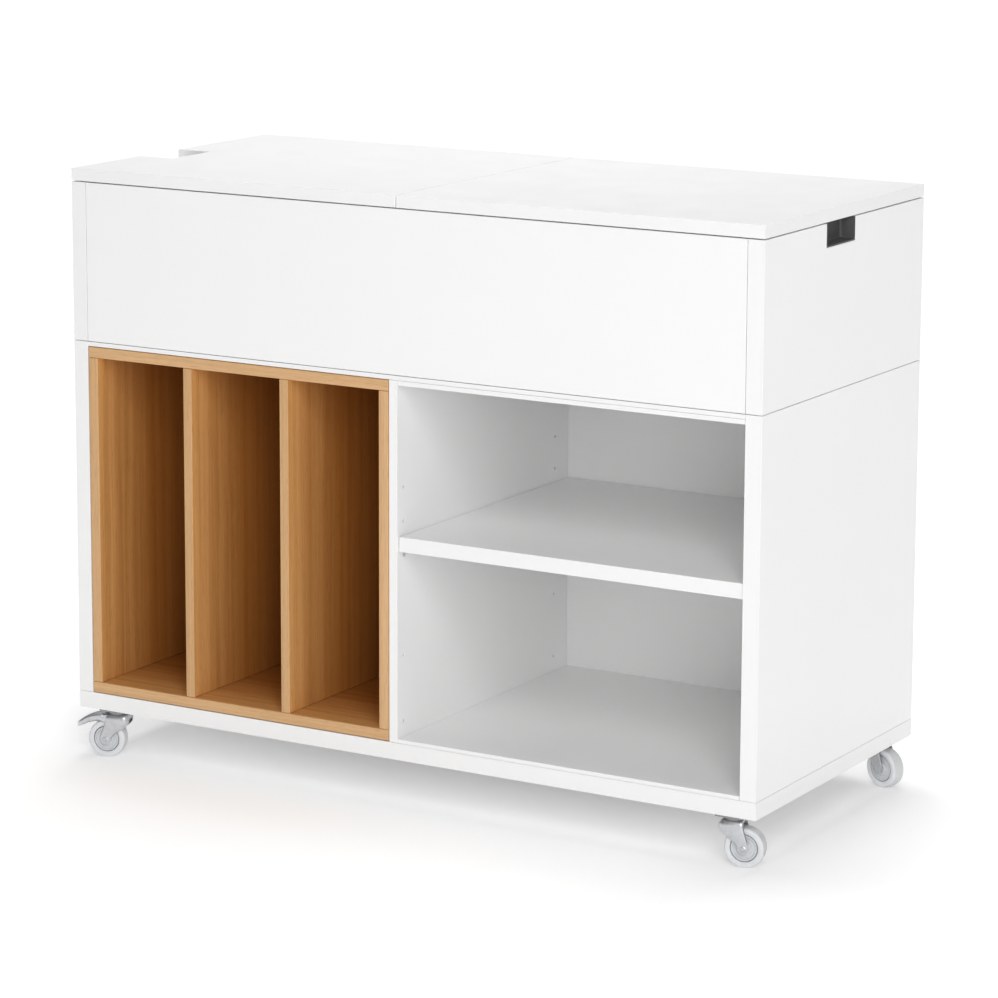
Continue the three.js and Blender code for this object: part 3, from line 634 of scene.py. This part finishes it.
def add_shelf_pins():
    """Moulded pins: a shank in the wall, a thin collar against it and a flat tongue under the shelf."""
    for side, outwards in (("left", 1), ("right", -1)):
        for end in ("front", "rear"):
            name = f"shelf_pin_{side}_{end}"
            low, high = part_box(name)
            centre = (low + high) / 2
            length = high.x - low.x
            start = Vector((low.x if outwards > 0 else high.x, centre.y, centre.z))
            wall = length / 2
            profile = [(0, 0), (PIN_R * 0.8, 0), (PIN_R, PIN_R * 0.3), (PIN_R, wall), (PIN_COLLAR_R, wall),
                       (PIN_COLLAR_R, wall + PIN_COLLAR_T), (0, wall + PIN_COLLAR_T)]
            bm = bmesh.new()
            turned_solid(bm, profile, FITTING_STEPS, along_x(start, outwards))
            ends = sorted((start.x + outwards * wall, start.x + outwards * length))
            join_into(bm, eased_box(Vector((ends[0], centre.y - PIN_TONGUE_W / 2, high.z - PIN_TONGUE_T)),
                                    Vector((ends[1], centre.y + PIN_TONGUE_W / 2, high.z)), 0.6 * MM))
            # The pins take the grey plastic, painted shade for the shade under the shelf.
            place_piece(f"{name}_spoon", finished(bm, name), [SHADED_PIN_PLASTIC], "cabinet", [name])


def add_bumpers():
    """Thin round pads with a rounded rim, between the upper box and the lid."""
    for end in ("front", "rear"):
        name = f"lid_bumper_{end}"
        low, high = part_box(name)
        centre = (low + high) / 2
        radius, height = (high.x - low.x) / 2, high.z - low.z
        rim = [(radius - height * (1 - math.cos(a)) * 0.6, height * math.sin(a))
               for a in (math.pi / 2 * step / 6 for step in range(7))]
        bm = bmesh.new()
        place = Matrix.Translation((centre.x, centre.y, low.z))
        turned_solid(bm, [(0, 0), *rim, (0, height)], FITTING_STEPS, place)
        place_piece(f"{name}_pad", finished(bm, name), [PAD_RUBBER], "cabinet", [name])


PULL_WALL = 1.5 * MM
PULL_CORNER = 3 * MM
PULL_EASE = 0.4 * MM


def add_finger_pull():
    """The notch's moulded lining: a tray with rounded inner corners, open to the outside and at its top."""
    low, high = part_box("finger_pull")
    tray = finished(eased_box(low, high, PULL_EASE), "finger_pull")
    wall = Vector((PULL_WALL, PULL_WALL, PULL_WALL))
    beyond = Vector((high.x + 4 * PULL_CORNER, high.y - PULL_WALL, high.z + 4 * PULL_CORNER))
    tray = carved(tray, eased_box(low + wall, beyond, PULL_CORNER), 0)
    place_piece("finger_pull_lining", tray, [PULL_PLASTIC], "cabinet", ["finger_pull"])


# ---- Castors -----------------------------------------------------------------------------------------
CASTORS = ("front_left", "front_right", "rear_left", "rear_right")
FORK_INNER = 11.2 * MM
SHEET = 1.8 * MM
NOSE_X = -16.5 * MM
CROWN_X = 12.5 * MM
CROWN_Z = 58.5 * MM
ROUND_STEPS = 72


def castor_place(name):
    """The castor's own frame: swivel axis on Z, the floor at 0, its wheel trailing towards +X."""
    swivel = Vector(joint(f"swivel_{name}")["pos_m"])
    axis = joint(f"wheel_{name}_roll")["axis"]
    turn = math.atan2(-axis[0], axis[1])
    return Matrix.Translation((swivel.x, swivel.y, 0)) @ Matrix.Rotation(turn, 4, "Z")


def wheel_centre(name):
    """The axle's middle in the castor's own frame."""
    return castor_place(name).inverted() @ Vector(joint(f"wheel_{name}_roll")["pos_m"])


def across(centre):
    """A frame whose Z runs along the axle, towards +Y, at the wheel's centre."""
    return Matrix.Translation(centre) @ Matrix.Rotation(math.radians(-90), 4, "X")


def castor_piece(bm, kind, name, body, material):
    """Moves a mesh drawn in the castor's own frame to its castor and puts it on its body."""
    bm.transform(castor_place(name))
    mesh = finished(bm, f"castor_{kind}_{name}")
    node_name = f"{kind}_{name}"
    return place_piece(f"{node_name}_detail", mesh, [material], body, [node_name])


def fork_stations(centre):
    """The bent sheet's stations, from one leg's foot over the crown to the other's.

    Each is (y, z, inward, x0, x1, curl).
    """
    eye = 6.5 * MM
    leg_y = FORK_INNER + SHEET
    bend = 5 * MM
    half = []
    for step in range(9):
        angle = -math.pi / 2 + math.radians(100) * (0.02 + 0.98 * step / 8)
        reach = eye * math.cos(angle)
        z = centre.z + eye * math.sin(angle)
        half.append((leg_y, z, (-1, 0), centre.x - reach, centre.x + reach, 0.0))
    heights = 14
    foot_z = half[-1][1]
    for step in range(1, heights + 1):
        t = step / heights
        z = foot_z + (CROWN_Z - bend - foot_z) * t
        nose = centre.x - eye + (NOSE_X - centre.x + eye) * math.sin(math.pi / 2 * min(1, t * 1.12)) ** 2.0
        heel = centre.x + eye + (CROWN_X - centre.x - eye) * min(1, t * 1.1)
        half.append((leg_y, z, (-1, 0), nose, heel, 6 * MM * t))
    for step in range(1, 7):
        angle = math.pi / 2 * step / 6
        y = leg_y - bend + bend * math.cos(angle)
        z = CROWN_Z - bend + bend * math.sin(angle)
        half.append((y, z, (-math.cos(angle), -math.sin(angle)), NOSE_X, CROWN_X, 6 * MM))
    for step in range(1, 5):
        half.append(((leg_y - bend) * (1 - step / 4), CROWN_Z, (0, -1), NOSE_X, CROWN_X, 6 * MM))
    other = [(-y, z, (-ny, nz), x0, x1, curl) for y, z, (ny, nz), x0, x1, curl in reversed(half[:-1])]
    return half + other


def fork_mesh(centre):
    """A hooded fork pressed from one sheet: two legs, a crown, and edges that curl in towards the nose."""
    bm = bmesh.new()
    columns = 22
    bulge = 0.8 * MM
    rows = []
    for y, z, (ny, nz), x0, x1, curl in fork_stations(centre):
        row = []
        width = x1 - x0
        curl = min(curl, width * 0.42)
        for column in range(columns + 1):
            t = column / columns
            t = t * t * (3 - 2 * t) * 0.5 + t * 0.5
            x = x0 + width * t
            inward = 0.0
            if curl > 0 and x - x0 < curl:
                inward = curl - math.sqrt(max(0.0, curl**2 - (curl - (x - x0)) ** 2))
            heel_curl = curl * 0.3
            if heel_curl > 0 and x1 - x < heel_curl:
                inward = heel_curl - math.sqrt(max(0.0, heel_curl**2 - (heel_curl - (x1 - x)) ** 2))
            inward -= bulge * math.sin(math.pi * t) * min(1, curl / (3 * MM))
            row.append(bm.verts.new((x, y + ny * inward, z + nz * inward)))
        rows.append(row)
    for row, following in zip(rows, rows[1:]):
        for column in range(columns):
            bm.faces.new((row[column], row[column + 1], following[column + 1], following[column]))
    return bm


def add_fork(name):
    centre = wheel_centre(name)
    bm = fork_mesh(centre)
    bm.transform(castor_place(name))
    mesh = finished(bm, f"castor_fork_{name}")
    mesh.flip_normals()
    piece = place_piece(f"castor_fork_{name}_sheet", mesh, [ZINC], f"castor_{name}",
                        [f"castor_fork_{name}"])
    sheet = piece.modifiers.new("sheet", "SOLIDIFY")
    sheet.thickness, sheet.offset = SHEET * 0.8, -1
    return piece


def rounded_square(half, corner, steps=6):
    """The outline of a square with round corners, as (x, y)."""
    outline = []
    for quarter, (sx, sy) in enumerate(((1, 1), (-1, 1), (-1, -1), (1, -1))):
        for step in range(steps + 1):
            angle = math.pi / 2 * (quarter + step / steps)
            x = sx * (half - corner) + corner * math.cos(angle)
            y = sy * (half - corner) + corner * math.sin(angle)
            outline.append((x, y))
    return outline


PLATE_T = 2 * MM
PLATE_CORNER = 4 * MM
SCREW_R = 3 * MM
SCREW_HEAD = 0.9 * MM
SCREW_STEPS = 32
SCREW_INSET = 4.6 * MM
CROSS_LONG, CROSS_WIDE, CROSS_DEEP = 3.2 * MM, 0.75 * MM, 0.7 * MM
RACE_R = 14 * MM
RIVET_R = 6.5 * MM
KING_PIN_R = 4 * MM


def screw_places(half):
    offset = half - SCREW_INSET
    return [(sx * offset, sy * offset) for sx in (-1, 1) for sy in (-1, 1)]


def add_plate(name):
    """Mounting plate with rounded corners, pressed race, riveted king pin and four cross-head screws."""
    node_name = f"castor_plate_{name}"
    low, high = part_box(node_name)
    swivel = Vector(joint(f"swivel_{name}")["pos_m"])
    half = (high.x - low.x) / 2
    under = high.z - PLATE_T
    race_bottom = CROWN_Z + 0.3 * MM
    bm = bmesh.new()
    plate = eased_outline(rounded_square(half, PLATE_CORNER), 2, under, high.z, 0.35 * MM, 2)
    join_into(bm, plate)
    cup = [(0, race_bottom), (RACE_R - 2.4 * MM, race_bottom), (RACE_R - 0.8 * MM, race_bottom + 0.5 * MM),
           (RACE_R, race_bottom + 1.8 * MM), (RACE_R, under - 1.4 * MM),
           (RACE_R + 0.7 * MM, under - 0.4 * MM), (RACE_R + 1.6 * MM, under + 0.1 * MM),
           (0, under + 0.1 * MM)]
    turned_solid(bm, cup, ROUND_STEPS)
    rivet_top = CROWN_Z - 4 * MM - 0.3 * MM
    rivet = [(0, low.z), (RIVET_R * 0.55, low.z), (RIVET_R * 0.86, low.z + 0.5 * MM),
             (RIVET_R, low.z + 1.6 * MM), (RIVET_R, rivet_top), (KING_PIN_R, rivet_top),
             (KING_PIN_R, race_bottom + 0.2 * MM), (0, race_bottom + 0.2 * MM)]
    turned_solid(bm, rivet, ROUND_STEPS)
    head = SCREW_HEAD
    for x, y in screw_places(half):
        dome = [(0, under - head), (SCREW_R * 0.45, under - head), (SCREW_R * 0.8, under - head * 0.75),
                (SCREW_R, under - head * 0.2), (SCREW_R, under + 0.1 * MM), (0, under + 0.1 * MM)]
        turned_solid(bm, dome, SCREW_STEPS, Matrix.Translation((x, y, 0)))
    mesh = finished(bm, node_name)
    cutters = bmesh.new()
    for x, y in screw_places(half):
        middle = Vector((x, y, under - head))
        for reach in ((CROSS_LONG, CROSS_WIDE), (CROSS_WIDE, CROSS_LONG)):
            size = Vector((*reach, 2 * CROSS_DEEP)) / 2
            join_into(cutters, eased_box(middle - size, middle + size, 0.05 * MM, 1))
    mesh = carved(mesh, cutters, 0)
    mesh.transform(Matrix.Translation((swivel.x, swivel.y, 0)))
    # The plate takes the darker zinc, painted shade for the shade under the cabinet.
    place_piece(f"{node_name}_detail", mesh, [SHADED_ZINC], "cabinet", [node_name])


AXLE_R = 3 * MM
AXLE_HEAD_R = 4.6 * MM
RIVET_HOLE_R = 2.3 * MM


def add_axle(name):
    """A tubular rivet axle with a rolled, hollow head at each end."""
    low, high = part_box(f"castor_axle_{name}")
    centre = wheel_centre(name)
    reach = FORK_INNER + SHEET + 0.3 * MM
    end = reach + 1.5 * MM
    half = [(0, end - 4 * MM), (RIVET_HOLE_R, end - 4 * MM), (RIVET_HOLE_R, end - 0.6 * MM),
            (RIVET_HOLE_R + 0.5 * MM, end - 0.1 * MM), (AXLE_HEAD_R * 0.62, end),
            (AXLE_HEAD_R * 0.88, end - 0.35 * MM), (AXLE_HEAD_R, end - 0.9 * MM), (AXLE_HEAD_R, reach),
            (AXLE_R, reach)]
    bm = bmesh.new()
    turned_solid(bm, mirrored(half), FITTING_STEPS, across(centre))
    castor_piece(bm, "castor_axle", name, f"castor_{name}", ZINC)


HUB_R = 17 * MM
HUB_BORE = 3.4 * MM
TYRE_HALF = 9.5 * MM
WHEEL_R = 25 * MM


# The mask marks the hub's painted shade at its rim and the tyre's duller tread.
def wear_and_shade_ring(bm, centre, clean, full_at):
    """Stores a mask that grows from none at one radius to full at another, about the axle."""
    wear_and_shade = bm.verts.layers.float.new("wear_and_shade")
    for vertex in bm.verts:
        offset = vertex.co - centre
        reach = (math.hypot(offset.x, offset.z) - clean) / (full_at - clean)
        vertex[wear_and_shade] = max(0.0, min(1.0, reach))


def add_hub(name):
    """Moulded hub: boss, dished web with two raised rings, and a rim darkened at its edge by painted shade, as in
    the photo.
    """
    half = [(HUB_BORE, TYRE_HALF + 0.6 * MM), (6.5 * MM, TYRE_HALF + 0.6 * MM),
            (7.1 * MM, TYRE_HALF + 0.1 * MM), (7.4 * MM, TYRE_HALF - 1.9 * MM),
            (9.6 * MM, TYRE_HALF - 2.1 * MM), (10 * MM, TYRE_HALF - 1.6 * MM),
            (10.8 * MM, TYRE_HALF - 1.6 * MM), (11.2 * MM, TYRE_HALF - 2.1 * MM),
            (13.6 * MM, TYRE_HALF - 2.0 * MM), (14.2 * MM, TYRE_HALF - 0.9 * MM),
            (HUB_R - 1.2 * MM, TYRE_HALF - 0.7 * MM), (HUB_R - 0.6 * MM, TYRE_HALF - 1.0 * MM),
            (HUB_R, TYRE_HALF - 1.8 * MM)]
    centre = wheel_centre(name)
    bm = bmesh.new()
    turned(bm, rounded(mirrored(half), 0.3 * MM, 2), ROUND_STEPS, across(centre))
    # Painted shade: the hub's rim darkens where it meets the tyre, for the shade in the groove between them.
    wear_and_shade_ring(bm, centre, HUB_R - 1.1 * MM, HUB_R - 0.5 * MM)
    castor_piece(bm, "castor_hub", name, f"wheel_{name}", HUB_PLASTIC)


def add_tyre(name):
    """Soft tyre with round shoulders, a fine mould line around the tread, and a duller tone on it."""
    inner = HUB_R + 0.3 * MM
    line = 0.12 * MM
    tread = WHEEL_R - line
    half = [(inner, TYRE_HALF - 1.5 * MM), (inner + 0.3 * MM, TYRE_HALF - 0.7 * MM),
            (inner + 1.2 * MM, TYRE_HALF - 0.35 * MM), (inner + 1.6 * MM, TYRE_HALF - 0.1 * MM),
            (WHEEL_R - 3.2 * MM, TYRE_HALF)]
    for step in range(7):
        angle = math.pi / 2 * step / 6
        half.append((tread - 3 * MM + 3 * MM * math.sin(angle),
                     TYRE_HALF - 3 * MM + 3 * MM * math.cos(angle)))
    half += [(tread, 0.35 * MM), (WHEEL_R, 0.12 * MM)]
    centre = wheel_centre(name)
    bm = bmesh.new()
    turned(bm, mirrored(half), ROUND_STEPS, across(centre))
    wear_and_shade_ring(bm, centre, WHEEL_R - 1.2 * MM, WHEEL_R - 0.2 * MM)
    castor_piece(bm, "castor_tyre", name, f"wheel_{name}", TYRE_RUBBER)


EAR_OUTLINE_STEPS = 10
EAR_R = 4.2 * MM
PIN_STEPS = 32  # around the pedal's pin and bush


def add_ears(name, pivot):
    """Two plates that widen the fork's legs to the pedal's pivot, and the pivot's riveted pin."""
    bm = bmesh.new()
    outline = [(pivot.x - 11 * MM, CROWN_Z - 0.6 * MM), (pivot.x - 11 * MM, pivot.z - 9 * MM)]
    for step in range(EAR_OUTLINE_STEPS + 1):
        angle = math.radians(-80) + math.radians(170) * step / EAR_OUTLINE_STEPS
        outline.append((pivot.x + EAR_R * math.cos(angle) * 0.95, pivot.z - 1 * MM + EAR_R * math.sin(angle)))
    for side in (-1, 1):
        near, far = side * FORK_INNER, side * (FORK_INNER + SHEET)
        join_into(bm, eased_outline(outline, 1, min(near, far), max(near, far), 0.3 * MM, 2))
    end = FORK_INNER + SHEET + 0.9 * MM
    half = [(0, end), (1.4 * MM, end), (2.1 * MM, end - 0.4 * MM), (2.2 * MM, end - 0.9 * MM),
            (1.5 * MM, end - 0.9 * MM)]
    turned_solid(bm, mirrored(half), PIN_STEPS, across(pivot))
    bm.transform(castor_place(name))
    mesh = finished(bm, f"brake_ears_{name}")
    place_piece(f"brake_ears_{name}", mesh, [ZINC], f"castor_{name}")


PEDAL_T = 1.2 * MM
PEDAL_HALF = 10.4 * MM
PEDAL_STATIONS = 36
PEDAL_BEND = 2.2 * MM
FLANGE = (9.5 * MM, 8.0 * MM)  # depth at the pivot and at the tip


def pedal_mesh(pivot, tip):
    """A bowed channel pressed from one sheet, with side flanges that taper to a round tip."""
    start = Vector((pivot.x - 2.4 * MM, pivot.z + 2.6 * MM))
    knee = Vector((pivot.x + 18 * MM, pivot.z + 4 * MM))
    finish = Vector(tip)
    bm = bmesh.new()
    rows = []
    for station in range(PEDAL_STATIONS + 1):
        t = station / PEDAL_STATIONS
        t = 1 - (1 - t) ** 1.35
        spot = start.lerp(knee, t).lerp(knee.lerp(finish, t), t)
        nearness = max(0.0, (t - 0.72) / 0.28)
        half = PEDAL_HALF * max(0.06, (1 - nearness**2.4)) ** 0.5
        depth = (FLANGE[0] + (FLANGE[1] - FLANGE[0]) * t) * (1 - 0.35 * nearness**2)
        bend = min(PEDAL_BEND, half * 0.5)
        across_points = [(-half, -depth), (-half, -depth * 0.5), (-half, -bend)]
        for step in range(1, 5):
            angle = math.pi / 2 * step / 5
            across_points.append((-half + bend * (1 - math.cos(angle)), -bend + bend * math.sin(angle)))
        across_points += [(-half + bend, 0.0), (-(half - bend) * 0.5, 0.25 * MM)]
        mirror = [(-y, z) for y, z in reversed(across_points)]
        row = [bm.verts.new((spot.x, y, spot.y + z)) for y, z in [*across_points, (0.0, 0.35 * MM), *mirror]]
        rows.append(row)
    for row, following in zip(rows, rows[1:]):
        for column in range(len(row) - 1):
            bm.faces.new((row[column], following[column], following[column + 1], row[column + 1]))
    return bm


def add_pedal(name):
    """Brake pedal: the channel, a bush about its pivot pin, and a tongue that bends down to the tread."""
    node_name = f"brake_pedal_{name}"
    place = castor_place(name)
    pivot = place.inverted() @ Vector(joint(f"brake_{name}")["pos_m"])
    add_ears(name, pivot)
    corners = [place.inverted() @ v.co for v in frame["nodes"][node_name].data.vertices]
    far = max(corners, key=lambda v: v.x)
    bm = pedal_mesh(pivot, (far.x, far.z + 1 * MM))
    bm.transform(place)
    mesh = finished(bm, node_name)
    piece = place_piece(f"{node_name}_channel", mesh, [ZINC], f"pedal_{name}", [node_name])
    sheet = piece.modifiers.new("sheet", "SOLIDIFY")
    sheet.thickness, sheet.offset = PEDAL_T, -1

    bm = bmesh.new()
    bush = [(1.9 * MM, PEDAL_HALF - PEDAL_T), (3.1 * MM, PEDAL_HALF - PEDAL_T)]
    turned(bm, mirrored(bush), PIN_STEPS, across(pivot))
    tongue_end = min((v for v in corners if pivot.x + 3 * MM < v.x < pivot.x + 9 * MM), key=lambda v: v.z).z
    outline = [(pivot.x + 9 * MM, pivot.z + 0.9 * MM), (pivot.x + 9.6 * MM, pivot.z - 0.4 * MM),
               (pivot.x + 7.8 * MM, pivot.z - 3 * MM), (pivot.x + 7.5 * MM, tongue_end),
               (pivot.x + 5.9 * MM, tongue_end + 0.5 * MM), (pivot.x + 6.2 * MM, pivot.z - 2 * MM),
               (pivot.x + 3 * MM, pivot.z + 1.2 * MM)]
    join_into(bm, eased_outline(outline, 1, -6 * MM, 6 * MM, 0.3 * MM, 2))
    bm.transform(place)
    mesh = finished(bm, f"{node_name}_tongue")
    place_piece(f"{node_name}_tongue", mesh, [ZINC], f"pedal_{name}")


add_plain_boards()
add_drilled_walls()
add_deck()
add_notched_side()
add_tops()
add_wood()
add_shelf_pins()
add_bumpers()
add_finger_pull()
for castor in CASTORS:
    add_plate(castor)
    add_fork(castor)
    add_axle(castor)
    add_hub(castor)
    add_tyre(castor)
    if f"brake_pedal_{castor}" in frame["nodes"]:
        add_pedal(castor)


def dress_cad_node(name, material):
    """A CAD node that keeps its own shape gets eased edges and a finish."""
    obj = frame["nodes"][name]
    obj.data.materials.clear()
    obj.data.materials.append(material)
    weld = obj.modifiers.new("weld", "WELD")
    weld.merge_threshold = 0.001 * MM
    bevel = obj.modifiers.new("ease", "BEVEL")
    bevel.width, bevel.segments = 0.15 * MM, 2
    bevel.limit_method, bevel.angle_limit = "ANGLE", math.radians(40)


for part in frame["record"]["subparts"]:
    if part["material_slot"] == "hinge":
        dress_cad_node(part["node"], HINGE_METAL)


# ---- Stage -------------------------------------------------------------------------------------------
def add_floor():
    bm = bmesh.new()
    bmesh.ops.create_grid(bm, x_segments=1, y_segments=1, size=FLOOR_SIZE / 2)
    floor = bpy.data.objects.new("floor", finished(bm, "floor"))
    bpy.context.scene.collection.objects.link(floor)
    material, nodes, links = new_material("floor")
    shader = nodes["Principled BSDF"]
    shader.inputs["Base Color"].default_value = (*FLOOR_TONE, 1)
    shader.inputs["Roughness"].default_value = 0.9
    shader.inputs["Specular IOR Level"].default_value = 0.0
    shader.inputs["Emission Color"].default_value = (1, 1, 1, 1)
    # Painted light and painted shadow: emission that is low in a patch under the table and rises around it and
    # towards the back left.
    place = nodes.new("ShaderNodeTexCoord").outputs["Object"]
    for operation, amount in (("SUBTRACT", SHADE_MIDDLE), ("ABSOLUTE", None), ("SUBTRACT", SHADE_HALF),
                              ("MAXIMUM", (0, 0, 0)), ("LENGTH", None)):
        step = node(nodes, "ShaderNodeVectorMath", operation=operation)
        links.new(place, step.inputs[0])
        if amount is not None:
            step.inputs[1].default_value = amount
        place = step.outputs["Value" if operation == "LENGTH" else "Vector"]
    behind = node(nodes, "ShaderNodeVectorMath", operation="DOT_PRODUCT")
    behind.inputs[1].default_value = BACKDROP_WAY
    links.new(nodes.new("ShaderNodeTexCoord").outputs["Object"], behind.inputs[0])
    glow = node(nodes, "ShaderNodeMath", operation="ADD")
    links.new(spread(nodes, links, place, 0.0, SHADE_FADE, *FLOOR_GLOW), glow.inputs[0])
    far = spread(nodes, links, behind.outputs["Value"], *BACKDROP_REACH, 0.0, BACKDROP_GLOW)
    links.new(far, glow.inputs[1])
    links.new(glow.outputs["Value"], shader.inputs["Emission Strength"])
    floor.data.materials.append(material)


def add_light(name, place, target, size, power):
    light = bpy.data.lights.new(name, "AREA")
    light.shape, light.size, light.energy = "DISK", size, power
    obj = bpy.data.objects.new(name, light)
    bpy.context.scene.collection.objects.link(obj)
    obj.location = place
    obj.rotation_euler = (Vector(target) - Vector(place)).to_track_quat("-Z", "Y").to_euler()


def add_stage():
    add_floor()
    world = bpy.data.worlds.new("studio")
    world.use_nodes = True
    world.node_tree.nodes["Background"].inputs["Color"].default_value = (1, 1, 1, 1)
    world.node_tree.nodes["Background"].inputs["Strength"].default_value = WORLD_LIGHT
    bpy.context.scene.world = world
    for softbox in SOFTBOXES:
        add_light(*softbox)


def add_camera():
    camera = bpy.data.cameras.new("camera")
    camera.lens, camera.sensor_width, camera.shift_y = CAMERA_LENS, SENSOR, CAMERA_SHIFT
    obj = bpy.data.objects.new("camera", camera)
    bpy.context.scene.collection.objects.link(obj)
    level = Matrix.Rotation(math.radians(90), 4, "X")
    turn = Matrix.Rotation(CAMERA_YAW, 4, "Z") @ Matrix.Rotation(CAMERA_PITCH, 4, "X")
    roll = Matrix.Rotation(CAMERA_ROLL, 4, "Y")
    obj.matrix_world = Matrix.Translation(CAMERA_PLACE) @ turn @ roll @ level
    bpy.context.scene.camera = obj


add_camera()
add_stage()
bpy.context.scene.view_settings.view_transform = "Standard"
